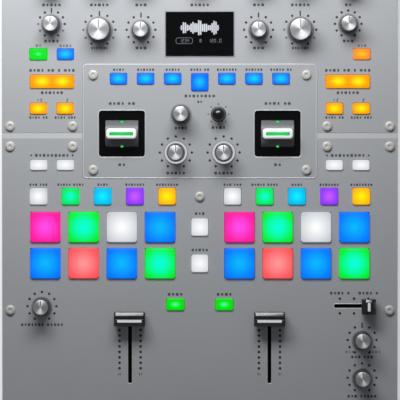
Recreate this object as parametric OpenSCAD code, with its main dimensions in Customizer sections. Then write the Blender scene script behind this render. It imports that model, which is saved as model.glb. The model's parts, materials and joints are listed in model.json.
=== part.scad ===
// Two-channel DJ battle mixer, +Z up, +Y towards the back.
// The origin is on the floor, under the middle of the top panel.

/* [Case] */
// Width of the top panel, side to side
case_w = 300; // [299:1:306]
// Depth of the top panel, front to back
case_d = 404; // [402:1:408]
// Height of the top panel's surface above the floor
panel_z = 88; // [86:1:96]
// Thickness of the two panel plates
plate_t = 3; // [2.8:0.1:3.2]
// Thickness of the folded case sheet
sheet_t = 1.5; // [1.2:0.1:1.8]
// Height of the rubber feet
foot_h = 8; // [6:1:10]
// How far the rear panel is set in under the top panel's edge
rear_recess = 10; // [10:1:14]

/* [Knobs] */
// Radius of a small knob's skirt
knob_r = 7.8; // [7.4:0.1:8.2]
// Radius of a filter knob's skirt
filter_r = 10.2; // [9.6:0.1:10.4]
// Height of a knob
knob_h = 15.4; // [14:0.2:16]
// Sideways place of the microphone and session knobs
outer_x = 112.3; // [111:0.1:113]
// Sideways place of the channel level and filter knobs
level_x = 76; // [75:0.1:77]
// Sideways place of the channel tone knobs
tone_x = 44.5; // [44:0.1:45]
// Front-to-back place of the filter row, counted from the panel's middle
filter_y = 111.2; // [110.5:0.1:112]
// Distance between rows of knobs
knob_pitch = 35; // [34.5:0.1:35.5]

/* [Keys and pads] */
// Width of a small lit key
key_w = 12.7; // [12.4:0.1:13]
// Depth of a small lit key
key_d = 8.2; // [8:0.1:8.6]
// How far a key stands above the panel
key_rise = 1.6; // [1.4:0.1:1.8]
// Width of a performance pad
pad_w = 22.6; // [22:0.1:23]
// Distance between pads, side to side
pad_pitch = 29; // [28.8:0.1:29.2]
// Width of a pad mode key
mode_w = 13; // [12.8:0.1:13.2]
// Distance between pad mode keys
mode_pitch = 24.4; // [24.2:0.1:24.5]

/* [Faders] */
// Sideways place of the channel faders
fader_x = 52.9; // [52:0.1:54]
// Travel of the channel faders and the crossfader
fader_travel = 45; // [44:0.5:45]
// Travel of the cue slider
cue_travel = 21.6; // [20:0.2:22]

/* [Effects section] */
// Width of the effects plate
fx_w = 177.3; // [176.5:0.1:178]
// Depth of the effects plate
fx_d = 86.8; // [86.5:0.1:87]
// Sideways place of the paddles
paddle_x = 59; // [58.5:0.1:59]
// Width of a square paddle well
well_w = 34.9; // [34.5:0.1:35]

/* [Hidden] */
$fn = 48;
eps = 0.01;

// Heights
fx_rise = 0.4;
fx_t = 2.2;
plate_z = panel_z - plate_t;
fx_z = panel_z + fx_rise - fx_t;
board_t = 1.6;
board_z = panel_z - 16;
board_top = board_z + board_t;
floor_z = foot_h + sheet_t;

// Case
case_half_w = case_w / 2 - 0.8;
front_y = -(case_d / 2 - 2.8);
back_y = case_d / 2 - 0.8;
rear_y = case_d / 2 - rear_recess;
flange_w = 12;
tab_w = 8;
rear_panel_t = 2;
foot_r = 12;
foot_x = case_w / 2 - 25;
foot_y = case_d / 2 - 27;

// Seam between the upper and the lower plate, with a wide bevel on the lower one
seam_y = 32.8;
seam_gap = 0.4;
bevel_w = 3.8;
bevel_h = 0.22;
lap = 2.6;
lap_t = 1.3;

// Effects plate
fx_y = 42;
fx_r = 3;
fx_fit = 0.25;
fx_bevel = 0.8;
window_half_w = 77.5;
window_front_y = 10;
window_back_y = 81;

// Screws: M4 pan heads on the panel, M3 on the back
screw_r = 1.95;
screw_head_r = 3.5;
screw_head_h = 2;
screw_len = 9;
clear_r = 2.3;
pillar_r = 3.6;
EDGE_SCREWS = [for (s = [-1, 1], y = [195, 38.3, 23, -101.2, -194]) [s * 143.8, y]];
PILLAR_SCREWS = concat([for (s = [-1, 1], y = [38.3, 23]) [s * 96.3, y]], [[0, -15]]);
FX_SCREWS = [for (s = [-1, 1], y = [77.1, 5.2]) [s * 80.7, y]];
REAR_SCREWS = [for (s = [-1, 1], z = [15, panel_z - 15]) [s * 143.5, z]];

// Knobs: [x, y, skirt radius, rise of the surface under it]
mid_y = filter_y + knob_pitch;
high_y = filter_y + 2 * knob_pitch;
mic_level_y = 144;
mic_tone_y = 115.6;
depth_x = 18.1;
MIC_LEVEL = [-outer_x, mic_level_y, knob_r, 0];
MIC_TONE = [-outer_x, mic_tone_y, knob_r, 0];
SESSION_IN = [outer_x, mic_level_y, knob_r, 0];
SESSION_OUT = [outer_x, mic_tone_y, knob_r, 0];
LEVEL_LEFT = [-level_x, mid_y, knob_r, 0];
LEVEL_RIGHT = [level_x, mid_y, knob_r, 0];
FILTER_LEFT = [-level_x, filter_y, filter_r, 0];
FILTER_RIGHT = [level_x, filter_y, filter_r, 0];
HIGH_LEFT = [-tone_x, high_y, knob_r, 0];
HIGH_RIGHT = [tone_x, high_y, knob_r, 0];
MID_LEFT = [-tone_x, mid_y, knob_r, 0];
MID_RIGHT = [tone_x, mid_y, knob_r, 0];
LOW_LEFT = [-tone_x, filter_y, knob_r, 0];
LOW_RIGHT = [tone_x, filter_y, knob_r, 0];
MAIN_LEVEL = [0, high_y, knob_r, 0];
BOOTH_LEVEL = [0, mid_y, knob_r, 0];
FX_TIME = [-14.3, 47.6, knob_r, fx_rise];
DEPTH_LEFT = [-depth_x, 18.3, knob_r, fx_rise];
DEPTH_RIGHT = [depth_x, 18.3, knob_r, fx_rise];
SAMPLER_LEVEL = [-119.8, -98.4, knob_r, 0];
CUE_MIX = [123.1, -123.8, knob_r, 0];
CUE_LEVEL = [123.1, -152.5, knob_r, 0];
UPPER_KNOBS = [
    MIC_LEVEL, MIC_TONE, SESSION_IN, SESSION_OUT, LEVEL_LEFT, LEVEL_RIGHT, FILTER_LEFT, FILTER_RIGHT,
    HIGH_LEFT, HIGH_RIGHT, MID_LEFT, MID_RIGHT, LOW_LEFT, LOW_RIGHT, MAIN_LEVEL, BOOTH_LEVEL,
];
FX_KNOBS = [FX_TIME, DEPTH_LEFT, DEPTH_RIGHT];
LOWER_KNOBS = [SAMPLER_LEVEL, CUE_MIX, CUE_LEVEL];
knob_gap = 1;
knob_recess_r = 5.6;
knob_recess_h = 2.6;
shaft_r = 3;
shaft_fit = 0.05;
bushing_r = 3.5;
bushing_rise = 2.4;
bushing_hole_r = 3.8;
nut_r = 5;
nut_h = 1.7;
pot_w = 9.6;
pot_d = 11;
pot_h = 8.4;
pot_top = board_top + pot_h;

// Keys: [x, y, width, depth]
key_gap = 0.3;
wide_key_w = 13.5;
key_corner = 1.2;
key_bottom = board_top + 6.4;
lip_w = 1.2;
lip_t = 1.5;
lip_z = plate_z - 0.3 - lip_t;
INPUT_KEYS = concat(
    [[-122.2, 92.9, wide_key_w, 8.6], [-101.7, 92.9, key_w, key_d], [122.6, 92.9, key_w, key_d]],
    [for (s = [-1, 1], i = [-1, 0, 1]) [s * level_x + i * 12.5, high_y, 9, 6.5]]);
LOOP_KEYS = concat(
    [for (s = [-1, 1]) [s * 112, 72.1, 33.2, 10]],
    [for (s = [-1, 1], x = [122.3, 102]) [s * x, 51.7, key_w, key_d]]);
FX_KEYS = concat(
    [for (i = [-3, -2, -1, 1, 2, 3]) [i * 20.5, 74.3, key_w, key_d]],
    [[0, 71.7, key_w, 12.9]]);
PARAMETER_KEYS = [for (s = [-1, 1], x = [122.2, 102]) [s * x, 8.9, 12.5, 7.7]];
MODE_KEYS = [for (s = [-1, 1], i = [0:4]) [s * (24.8 + i * mode_pitch), -14.9, mode_w, 12.4]];
PAD_KEYS_RIGHT = [for (i = [0:3], y = [-38.2, -65.7]) [30.1 + i * pad_pitch, y, pad_w, pad_w]];
PAD_KEYS_LEFT = [for (k = PAD_KEYS_RIGHT) [-k[0], k[1], k[2], k[3]]];
TAP_SHIFT_KEYS = [for (y = [-38.2, -65.8]) [0, y, key_w, 12.9]];
SYNC_KEYS = [for (s = [-1, 1]) [s * 18.6, -96.9, wide_key_w, 8.5]];
UPPER_KEYS = concat(INPUT_KEYS, LOOP_KEYS);
LOWER_KEYS = concat(PARAMETER_KEYS, MODE_KEYS, PAD_KEYS_LEFT, PAD_KEYS_RIGHT, TAP_SHIFT_KEYS, SYNC_KEYS);

// Faders
stem_w = 1.4;
stem_d = 5;
slot_w = 3.2;
slot_r = 1.5;
slot_bevel = 0.5;
slot_spare = 3.5;
carriage_w = 7;
carriage_d = 8;
carriage_h = 5;
fader_body_w = 14;
fader_body_h = 12;
fader_body_z = board_z - 1.5;
fader_wall = 5;
cap_w = 23.5;
cap_d = 10.8;
cap_h = 11;
cap_gap = 3;
fader_y = -107.7;
cross_y = -184;
cue_x = 127.8;
cue_y = -98.1;
cue_cap_d = 11.5;

// Display
display_y = 107.9;
display_w = 52.2;
display_d = 34.3;
display_glass_t = 1.8;
display_lip = 2;

// Paddles
paddle_y = 32.5;
drum_r = 12;
drum_w = 25.2;
drum_z = panel_z - 8;
drum_gap = 0.4;
paddle_w = 22.9;
paddle_d = 8.1;
paddle_top = panel_z + 13;
bezel_top = panel_z - 1.4;
bezel_h = 20.6;
bezel_gap = 0.2;
well_r = 2.2;
ear_w = 0.8;
ear_t = 1.8;
axle_r = 2;
axle_reach = 3;

// Beat stick and its gimbal
stick = [14.2, 47.3];
ball_r = 5.2;
ball_z = panel_z + 7.4;
pivot_z = panel_z - 7;
gimbal_r = 6.5;
gimbal_bore_r = 4.6;
gimbal_h = 3;
gimbal_pin_r = 1;
stick_pin_r = 0.9;
stick_hole_r = 4.7;

// Back panel sockets: places across and up
inlet_x = -118;
inlet_z = 34;
switch_z = 62;
switch_pivot_y = rear_y - 5;
xlr_x = [-80, -48];
xlr_z = 60;
jack_x = [-80, -48, -18];
jack_z = 28;
rca_x = [-18, 6, 30, 54, 78, 102];
rca_z = [48, 64];
ground_x = 126;
usb_x = [20, 60];
usb_z = 28;
phones_x = 102;
phones_small_x = 124;
phones_z = 54;

// A block with its base's centre at the given point
module block(at, size) {
    translate([at[0] - size[0] / 2, at[1] - size[1] / 2, at[2]])
        cube(size);
}

// A block with rounded upright edges
module soft_block(at, size, r) {
    translate(at)
        linear_extrude(size[2]) {
            square([size[0] - 2 * r, size[1]], center = true);
            square([size[0], size[1] - 2 * r], center = true);
            for (x = [-1, 1], y = [-1, 1])
                translate([x * (size[0] / 2 - r), y * (size[1] / 2 - r)])
                    circle(r);
        }
}

// A slice whose outline grows by c towards its top, or shrinks if c is negative
module taper(at, size, r, c) {
    h = abs(c);
    translate(at) {
        for (turn = [0, 90]) {
            run = turn == 0 ? size[0] : size[1];
            half = (turn == 0 ? size[1] : size[0]) / 2;
            rotate([0, 0, turn])
                translate([r - run / 2, 0, 0])
                    rotate([90, 0, 90])
                        linear_extrude(run - 2 * r)
                            polygon([[-half, 0], [half, 0], [half + c, h], [-half - c, h]]);
        }
        for (x = [-1, 1], y = [-1, 1])
            translate([x * (size[0] / 2 - r), y * (size[1] / 2 - r), 0])
                cylinder(h = h, r1 = r, r2 = r + c);
    }
}

module post(at, r, h) {
    translate(at)
        cylinder(h = h, r = r);
}

// A cylinder that lies front to back, from y0 to y1
module rod_y(x, y0, y1, z, r) {
    translate([x, y1, z])
        rotate([90, 0, 0])
            cylinder(h = y1 - y0, r = r);
}

// A cylinder that lies side to side, from x0 to x1
module rod_x(x0, x1, y, z, r) {
    translate([x0, y, z])
        rotate([0, 90, 0])
            cylinder(h = x1 - x0, r = r);
}

// Length of a slider's body for a travel
function fader_length(travel) = travel + carriage_d + 4 + 2 * fader_wall;

module key_holes(keys) {
    spare = 2 * key_gap;
    for (k = keys)
        soft_block([k[0], k[1], plate_z - 1], [k[2] + spare, k[3] + spare, plate_t + 2], key_corner);
}

module knob_holes(knobs) {
    for (k = knobs)
        post([k[0], k[1], plate_z - 1], bushing_hole_r, plate_t + 2);
}

module screw_holes(places) {
    for (p = places)
        post([p[0], p[1], plate_z - 1], clear_r, plate_t + 2);
}

// The pocket and the window under the effects plate
module fx_pocket() {
    fx_size = [fx_w + 2 * fx_fit, fx_d + 2 * fx_fit, plate_t + 2];
    soft_block([0, fx_y, fx_z], fx_size, fx_r + fx_fit);
    window_d = window_back_y - window_front_y;
    block([0, window_front_y + window_d / 2, plate_z - 1], [2 * window_half_w, window_d, plate_t + 2]);
    for (p = FX_SCREWS)
        post([p[0], p[1], plate_z - 1], screw_r + shaft_fit, plate_t);
}

// The wedge cut off a plate's edge along the seam, on one side of it
module seam_wedge(side, w, h) {
    translate([-case_w / 2 - 1, seam_y + side * seam_gap / 2, panel_z])
        rotate([90, 0, 90])
            linear_extrude(case_w + 2)
                polygon([[0, eps], [0, -h], [side * w, eps]]);
}

// A fader's slot through a plate, from one end of its travel to the other
module fader_slot(from, to) {
    along_x = from[1] == to[1];
    reach = stem_d + slot_spare;
    size = along_x
        ? [abs(to[0] - from[0]) + reach, slot_w, plate_t + 2]
        : [slot_w, abs(to[1] - from[1]) + reach, plate_t + 2];
    middle = (from + to) / 2;
    soft_block([middle[0], middle[1], plate_z - 1], size, slot_r);
    taper([middle[0], middle[1], panel_z - slot_bevel], size, slot_r, slot_bevel + eps);
}

// Folded steel case: floor, sides, front, top flange, tabs for the back panel, and pillars
module base_tray() {
    inner_w = 2 * (case_half_w - sheet_t);
    inner_h = plate_z - sheet_t - floor_z;
    mid_case_y = (front_y + back_y) / 2;
    color("dimgray") {
        difference() {
            block([0, mid_case_y, foot_h], [2 * case_half_w, back_y - front_y, plate_z - foot_h]);
            inner_d = rear_y - rear_panel_t - sheet_t - front_y - sheet_t;
            block([0, front_y + sheet_t + inner_d / 2, floor_z], [inner_w, inner_d, inner_h]);
            top_d = rear_y - rear_panel_t - front_y - flange_w;
            block([0, front_y + flange_w + top_d / 2, plate_z - 5], [inner_w - 2 * flange_w, top_d, 6]);
            door = [inner_w - 2 * tab_w, 6, inner_h - 2 * tab_w];
            block([0, rear_y - door[1] / 2, floor_z + tab_w], door);
            recess_d = back_y - rear_y + rear_panel_t + 1;
            block([0, rear_y - rear_panel_t + recess_d / 2, floor_z], [inner_w, recess_d, inner_h]);
            for (p = EDGE_SCREWS)
                post([p[0], p[1], plate_z - 4], screw_r + shaft_fit, 5);
            for (s = REAR_SCREWS)
                rod_y(s[0], rear_y - 6, rear_y, s[1], 1.55);
            rod_y(phones_x, front_y - 1, front_y + 3, phones_z, 4.8);
            rod_y(phones_small_x, front_y - 1, front_y + 3, phones_z, 3.3);
            for (i = [0:8], s = [-1, 1])
                block([s * case_half_w, 90 + i * 9, 30], [6, 3, 28]);
        }
        for (p = PILLAR_SCREWS)
            difference() {
                union() {
                    post([p[0], p[1], floor_z - eps], 5, board_z - floor_z + eps);
                    post([p[0], p[1], floor_z - eps], pillar_r, plate_z - floor_z + eps);
                }
                post([p[0], p[1], board_z], screw_r + shaft_fit, plate_z);
            }
    }
}

module upper_faceplate() {
    back_d = case_d / 2 - seam_y - seam_gap / 2;
    color("silver")
        difference() {
            block([0, case_d / 2 - back_d / 2, plate_z], [case_w, back_d, plate_t]);
            seam_wedge(1, 0.3, 0.3);
            lap_d = lap + 0.3;
            block([0, seam_y + lap_d / 2, plate_z - 1], [case_w + 2, lap_d, lap_t + 1.2]);
            fx_pocket();
            knob_holes(UPPER_KNOBS);
            key_holes(UPPER_KEYS);
            screw_holes(EDGE_SCREWS);
            screw_holes(PILLAR_SCREWS);
            block([0, display_y, panel_z - 1.6], [display_w + 0.4, display_d + 0.4, 3]);
            block([0, display_y, plate_z - 1], [display_w - 2 * display_lip, display_d - 2 * display_lip, 6]);
        }
}

module lower_faceplate() {
    front_d = case_d / 2 + seam_y - seam_gap / 2;
    color("silver")
        difference() {
            union() {
                block([0, -case_d / 2 + front_d / 2, plate_z], [case_w, front_d, plate_t]);
                block([0, seam_y, plate_z], [2 * case_half_w, 2 * lap, lap_t]);
            }
            seam_wedge(-1, bevel_w, bevel_h);
            fx_pocket();
            knob_holes(LOWER_KNOBS);
            key_holes(LOWER_KEYS);
            screw_holes(EDGE_SCREWS);
            screw_holes(PILLAR_SCREWS);
            for (s = [-1, 1])
                fader_slot([s * fader_x, fader_y], [s * fader_x, fader_y - fader_travel]);
            fader_slot([-fader_travel / 2, cross_y], [fader_travel / 2, cross_y]);
            fader_slot([cue_x - cue_travel, cue_y], [cue_x, cue_y]);
        }
}

// The raised plate that carries the effect keys, the paddles and their knobs
module fx_plate() {
    color("silver")
        difference() {
            union() {
                soft_block([0, fx_y, fx_z], [fx_w, fx_d, fx_t - fx_bevel], fx_r);
                taper([0, fx_y, fx_z + fx_t - fx_bevel], [fx_w, fx_d], fx_r, -fx_bevel);
            }
            knob_holes(FX_KNOBS);
            key_holes(FX_KEYS);
            screw_holes(FX_SCREWS);
            post([stick[0], stick[1], fx_z - 1], stick_hole_r, fx_t + 2);
            for (s = [-1, 1])
                translate([s * paddle_x, paddle_y, 0]) {
                    soft_block([0, 0, fx_z - 1], [well_w, well_w, fx_t + 2], well_r);
                    taper([0, 0, fx_z + fx_t - fx_bevel], [well_w, well_w], well_r, fx_bevel + eps);
                }
        }
}

module panel_screw(x, y, z) {
    color("lightgray")
        difference() {
            union() {
                post([x, y, z - screw_len], screw_r, screw_len + eps);
                translate([x, y, z])
                    cylinder(h = screw_head_h, r1 = screw_head_r, r2 = screw_head_r - 1);
            }
            for (a = [0, 90])
                translate([x, y, z + 0.9])
                    rotate(a)
                        block([0, 0, 0], [3.6, 0.8, 2]);
        }
}

module panel_screws() {
    for (p = concat(EDGE_SCREWS, PILLAR_SCREWS))
        panel_screw(p[0], p[1], panel_z);
    for (p = FX_SCREWS)
        panel_screw(p[0], p[1], panel_z + fx_rise);
    for (s = REAR_SCREWS)
        translate([s[0], rear_y, s[1]])
            rotate([-90, 0, 0])
                color("lightgray") {
                    cylinder(h = 1.8, r1 = 2.8, r2 = 2);
                    post([0, 0, -6], 1.5, 6 + eps);
                }
}

module rear_panel() {
    panel_h = plate_z - sheet_t - floor_z - 0.4;
    panel_w = 2 * (case_half_w - sheet_t) - 0.4;
    color("darkgray")
        difference() {
            block([0, rear_y - rear_panel_t / 2, floor_z + 0.2], [panel_w, rear_panel_t, panel_h]);
            block([inlet_x, rear_y, inlet_z - 10.2], [28.4, 10, 20.4]);
            block([inlet_x, rear_y, switch_z - 12.2], [16.4, 10, 24.4]);
            for (x = xlr_x)
                rod_y(x, rear_y - 5, rear_y + 5, xlr_z, 12.2);
            for (x = jack_x)
                rod_y(x, rear_y - 5, rear_y + 5, jack_z, 4.8);
            for (x = rca_x, z = rca_z)
                rod_y(x, rear_y - 5, rear_y + 5, z, 4.6);
            for (z = rca_z)
                rod_y(ground_x, rear_y - 5, rear_y + 5, z, 2.2);
            for (x = usb_x) {
                block([x, rear_y, usb_z - 6.3], [12.8, 10, 12.6]);
                block([x + 20, rear_y, usb_z - 3.8], [15.4, 10, 7.6]);
            }
            for (s = REAR_SCREWS)
                rod_y(s[0], rear_y - 5, rear_y + 5, s[1], 1.8);
        }
}

module rubber_feet() {
    for (x = [-1, 1], y = [-1, 1])
        color("black")
            translate([x * foot_x, y * foot_y, 0])
                difference() {
                    cylinder(h = foot_h, r1 = foot_r - 1.5, r2 = foot_r);
                    post([0, 0, -1], 3.5, 4);
                    post([0, 0, 2], 1.8, foot_h);
                }
}

// The main control board, with a switch under each key, and the audio board on the case's floor
module circuit_boards() {
    board_d = 366;
    board_y = -8;
    color("darkgreen")
        difference() {
            block([0, board_y, board_z], [270, board_d, board_t]);
            long_cut = fader_length(fader_travel) + 1;
            cue_cut = fader_length(cue_travel) + 3;
            wide_cut = fader_body_w + 1;
            for (s = [-1, 1]) {
                block([s * paddle_x, paddle_y, board_z - 1], [well_w + 4, well_w + 4, 4]);
                block([s * fader_x, fader_y - fader_travel / 2, board_z - 1], [wide_cut, long_cut, 4]);
            }
            block([0, cross_y, board_z - 1], [long_cut, wide_cut, 4]);
            block([cue_x - cue_travel / 2, cue_y, board_z - 1], [cue_cut, wide_cut, 4]);
            for (p = PILLAR_SCREWS)
                post([p[0], p[1], board_z - 1], pillar_r + 0.3, 4);
        }
    for (k = concat(UPPER_KEYS, FX_KEYS, LOWER_KEYS))
        color("black") {
            block([k[0], k[1], board_top], [6, 6, 3.4]);
            post([k[0], k[1], board_top + 3.3], 1.7, 1.7);
        }
    color("darkgreen")
        block([40, 112, floor_z + 5], [200, 100, board_t]);
    for (x = [-55, 135], y = [67, 157])
        color("silver")
            post([x, y, floor_z], 3, 5);
    for (x = [0, 35, 70])
        color("black")
            block([x, 105, floor_z + 5 + board_t], [18, 18, 1.6]);
}

// A rotary control's body, threaded bushing and nut, bored for the knob's shaft
module potentiometer(k) {
    color("slategray")
        difference() {
            union() {
                block([k[0], k[1], board_top], [pot_w, pot_d, pot_h]);
                post([k[0], k[1], pot_top - eps], bushing_r, panel_z + bushing_rise - pot_top);
                translate([k[0], k[1], panel_z + k[3]])
                    cylinder(h = nut_h, r = nut_r, $fn = 6);
            }
            post([k[0], k[1], board_top + 0.8], shaft_r + shaft_fit, 40);
        }
}

module potentiometers() {
    for (k = concat(UPPER_KNOBS, FX_KNOBS, LOWER_KNOBS))
        potentiometer(k);
    color("black")
        difference() {
            base = [gimbal_r * 2 + 8, 10, pivot_z + 2.5 - board_top];
            block([stick[0], stick[1], board_top], base);
            block([stick[0], stick[1], board_top + 1.5], [gimbal_r * 2 + 2, 12, 40]);
            rod_x(stick[0] - 20, stick[0] + 20, stick[1], pivot_z, gimbal_pin_r + shaft_fit);
        }
}

// A straight slider's body, open along the top for the stem
module fader_body(centre, travel, turn) {
    hollow = fader_length(travel) - 2 * fader_wall;
    color("slategray")
        translate([centre[0], centre[1], fader_body_z])
            rotate(turn)
                difference() {
                    block([0, 0, 0], [fader_body_w, fader_length(travel), fader_body_h]);
                    block([0, 0, 1], [carriage_w + 1, hollow, fader_body_h - 2.5]);
                    block([0, 0, 5], [stem_w + 1.4, hollow - 2, fader_body_h]);
                }
}

module fader_modules() {
    for (s = [-1, 1])
        fader_body([s * fader_x, fader_y - fader_travel / 2], fader_travel, 0);
    fader_body([0, cross_y], fader_travel, 90);
    fader_body([cue_x - cue_travel / 2, cue_y], cue_travel, 90);
}

module power_supply() {
    translate([-104, 112, floor_z]) {
        color("darkgreen")
            block([0, 0, 5], [66, 104, board_t]);
        color("silver")
            for (x = [-28, 28], y = [-47, 47])
                post([x, y, 0], 3, 5);
        color("gold")
            block([8, 8, 5 + board_t], [30, 32, 26]);
        color("black")
            for (y = [-36, -18])
                post([-16, y, 5 + board_t], 8, 30);
        color("silver")
            difference() {
                block([-24, 22, 5 + board_t], [10, 44, 24]);
                for (i = [-4:4])
                    block([-27, 22 + i * 5, 8 + board_t], [8, 2.4, 30]);
            }
    }
}

// Mains inlet with its three blades, and the power switch's frame below it
module power_inlet() {
    color("black") {
        difference() {
            union() {
                block([inlet_x, rear_y + 1.25, inlet_z - 12], [50, 2.5, 24]);
                block([inlet_x, rear_y - 8.4, inlet_z - 10], [28, 17, 20]);
            }
            translate([inlet_x, rear_y + 3, inlet_z])
                rotate([90, 0, 0])
                    linear_extrude(17)
                        polygon([
                            [-12.2, -8.2], [12.2, -8.2], [12.2, 4.2],
                            [8.2, 8.2], [-8.2, 8.2], [-12.2, 4.2],
                        ]);
            for (x = [-1, 1])
                rod_y(inlet_x + x * 20, rear_y - 2, rear_y + 4, inlet_z, 1.6);
        }
        difference() {
            union() {
                block([inlet_x, rear_y + 0.8, switch_z - 14], [20, 1.6, 28]);
                block([inlet_x, rear_y - 7, switch_z - 12], [16, 14 + eps, 24]);
            }
            block([inlet_x, rear_y, switch_z - 10.2], [12.4, 24, 20.4]);
            rod_x(inlet_x - 7.7, inlet_x + 7.7, switch_pivot_y, switch_z, 1.55);
        }
    }
    color("silver")
        for (p = [[-7, 0], [0, 4], [7, 0]])
            block([inlet_x + p[0], rear_y - 7.5, inlet_z + p[1] - 2], [2, 14, 4]);
}

// Three-pole male sockets: a round shell with a deep floor and three pins
module xlr_outputs() {
    for (x = xlr_x) {
        color("black")
            difference() {
                union() {
                    block([x, rear_y + 1, xlr_z - 15.5], [26, 2, 31]);
                    rod_y(x, rear_y - 16, rear_y + eps, xlr_z, 12);
                }
                rod_y(x, rear_y - 12, rear_y + 4, xlr_z, 9.6);
            }
        color("silver")
            for (p = [[-5.4, 0], [5.4, 0], [0, -5.4]])
                rod_y(x + p[0], rear_y - 12 - eps, rear_y - 1, xlr_z + p[1], 1.2);
    }
}

// A jack socket: threaded neck, nut and body, bored for the plug
module jack(x, face_y, z, way, bore_r, nut_r, neck_r) {
    color("black")
        translate([x, face_y, z])
            rotate([way > 0 ? -90 : 90, 0, 0])
                difference() {
                    union() {
                        post([0, 0, 0], nut_r, 2);
                        post([0, 0, -4], neck_r, 4 + eps);
                        block([0, 0, -22], [2 * neck_r + 4, 2 * neck_r + 4, 19]);
                    }
                    post([0, 0, -18], bore_r, 22);
                }
}

module jack_sockets() {
    for (x = jack_x)
        jack(x, rear_y, jack_z, 1, 3.3, 6.8, 4.5);
}

module headphone_jacks() {
    jack(phones_x, front_y, phones_z, -1, 3.3, 6.8, 4.5);
    jack(phones_small_x, front_y, phones_z, -1, 1.85, 4.6, 3);
}

// Phono sockets in pairs, and two grounding posts
module rca_jacks() {
    for (x = rca_x) {
        color("black")
            difference() {
                block([x, rear_y - 6, rca_z[0] - 8], [14, 8 - eps, rca_z[1] - rca_z[0] + 16]);
                for (z = rca_z)
                    rod_y(x, rear_y - 20, rear_y + 1, z, 4.25);
            }
        color("gold")
            for (z = rca_z)
                difference() {
                    union() {
                        rod_y(x, rear_y - 9, rear_y + 9, z, 4.15);
                        rod_y(x, rear_y, rear_y + 1.2, z, 5.6);
                    }
                    rod_y(x, rear_y + 1, rear_y + 10, z, 1.75);
                }
    }
    color("silver")
        for (z = rca_z) {
            rod_y(ground_x, rear_y - 4, rear_y + 6, z, 2);
            rod_y(ground_x, rear_y + 2, rear_y + 8, z, 4.2);
        }
}

// Two square computer sockets, each with a flat one beside it
module usb_ports() {
    for (x = usb_x)
        color("silver") {
            difference() {
                block([x, rear_y - 7, usb_z - 6], [12.4, 16, 12]);
                block([x, rear_y - 6 + eps, usb_z - 4.2], [8.9, 14, 8.4]);
            }
            block([x, rear_y - 7.5, usb_z - 1.6], [5.6, 13, 3.2]);
            difference() {
                block([x + 20, rear_y - 7, usb_z - 3.5], [15, 16, 7]);
                block([x + 20, rear_y - 6 + eps, usb_z - 2.6], [12.6, 14, 5.2]);
            }
            block([x + 20, rear_y - 8, usb_z + 0.3], [11, 12, 1.8]);
        }
}

module display_window() {
    color("black")
        soft_block([0, display_y, panel_z - 1.6], [display_w, display_d, display_glass_t], 0.8);
}

module display_module() {
    color("darkgreen")
        block([0, display_y, plate_z - 6], [54, 38, board_t]);
    color("black")
        block([0, display_y, plate_z - 6 + board_t], [display_w - 6, display_d - 6, 3.6]);
}

// The black moulding under each paddle, hollowed for its drum
module paddle_wells() {
    for (s = [-1, 1])
        color("black")
            difference() {
                translate([s * paddle_x, paddle_y, 0]) {
                    bezel_w = well_w - 2 * bezel_gap;
                    ear_span = well_w + 2 * ear_w;
                    soft_block([0, 0, bezel_top - bezel_h], [bezel_w, bezel_w, bezel_h], well_r);
                    block([0, 0, fx_z - ear_t], [ear_span, ear_span, ear_t]);
                }
                translate([s * paddle_x, 0, 0]) {
                    half_drum = drum_w / 2 + drum_gap;
                    rod_x(-half_drum, half_drum, paddle_y, drum_z, drum_r + drum_gap);
                    half_axle = drum_w / 2 + axle_reach + 0.3;
                    rod_x(-half_axle, half_axle, paddle_y, drum_z, axle_r + shaft_fit);
                }
            }
}

// A knob and its shaft, turned about an upright axis, with a groove for the pointer
module knob(k) {
    r = k[2];
    body_r = r - 0.9;
    cap_r = r - 2.1;
    base = panel_z + k[3] + knob_gap;
    top = base + knob_h;
    color("lightgray")
        translate([k[0], k[1], 0])
            difference() {
                rotate_extrude()
                    polygon([
                        [0, board_top + 1.2], [shaft_r, board_top + 1.2], [shaft_r, base + knob_recess_h],
                        [knob_recess_r, base + knob_recess_h], [knob_recess_r, base], [r, base],
                        [r, base + 0.8], [body_r, base + 1.2], [cap_r, top - 0.5],
                        [cap_r - 0.5, top], [0, top],
                    ]);
                block([0, cap_r / 2 + 0.5, top - 0.4], [0.9, cap_r, 1]);
            }
}

module mic_level() knob(MIC_LEVEL);
module mic_tone() knob(MIC_TONE);
module session_in() knob(SESSION_IN);
module session_out() knob(SESSION_OUT);
module level_left() knob(LEVEL_LEFT);
module level_right() knob(LEVEL_RIGHT);
module filter_left() knob(FILTER_LEFT);
module filter_right() knob(FILTER_RIGHT);
module high_left() knob(HIGH_LEFT);
module high_right() knob(HIGH_RIGHT);
module mid_left() knob(MID_LEFT);
module mid_right() knob(MID_RIGHT);
module low_left() knob(LOW_LEFT);
module low_right() knob(LOW_RIGHT);
module main_level() knob(MAIN_LEVEL);
module booth_level() knob(BOOTH_LEVEL);
module fx_time() knob(FX_TIME);
module depth_left() knob(DEPTH_LEFT);
module depth_right() knob(DEPTH_RIGHT);
module sampler_level() knob(SAMPLER_LEVEL);
module cue_mix() knob(CUE_MIX);
module cue_level() knob(CUE_LEVEL);

// A slider's carriage, stem and grooved cap, which slides along its own length direction
module fader(at, turn, width, depth) {
    half = depth / 2;
    stem_z = fader_body_z + 1.6;
    color("black")
        translate([at[0], at[1], 0])
            rotate(turn) {
                block([0, 0, stem_z], [carriage_w, carriage_d, carriage_h]);
                block([0, 0, stem_z + 1], [stem_w, stem_d, panel_z + cap_gap + 2 - stem_z]);
                translate([-width / 2, 0, panel_z + cap_gap])
                    rotate([90, 0, 90])
                        linear_extrude(width)
                            polygon([
                                [-half, 0], [half, 0], [half, 5], [half - 1.6, cap_h], [1, cap_h - 1.6],
                                [-1, cap_h - 1.6], [-half + 1.6, cap_h], [-half, 5],
                            ]);
            }
}

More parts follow.
